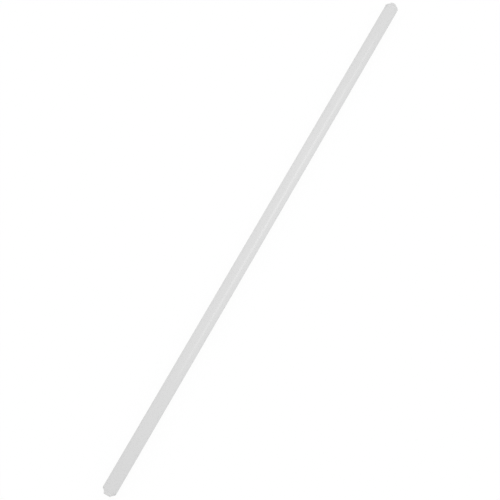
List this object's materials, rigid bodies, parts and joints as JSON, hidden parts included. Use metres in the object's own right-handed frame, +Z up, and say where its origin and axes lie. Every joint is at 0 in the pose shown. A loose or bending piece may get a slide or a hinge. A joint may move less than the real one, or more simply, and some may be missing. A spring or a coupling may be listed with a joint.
{
  "type": "glass stirring rod",
  "caption": "Solid clear glass rod, straight and round, with both ends bevelled to a short fire-polished tip, for stirring by hand.",
  "frame": {"origin": "middle of the rod, on its axis", "axes": "+X along the rod's axis from the stirring end towards the holding end, +Z up when the rod lies on a bench"},
  "size_m": [0.25, 0.006, 0.006],
  "materials": {
    "glass": "clear drawn glass with a faint neutral grey tint, ends fire-polished"
  },
  "bodies": {
    "root": {"rod": "glass"}
  },
  "joints": []
}
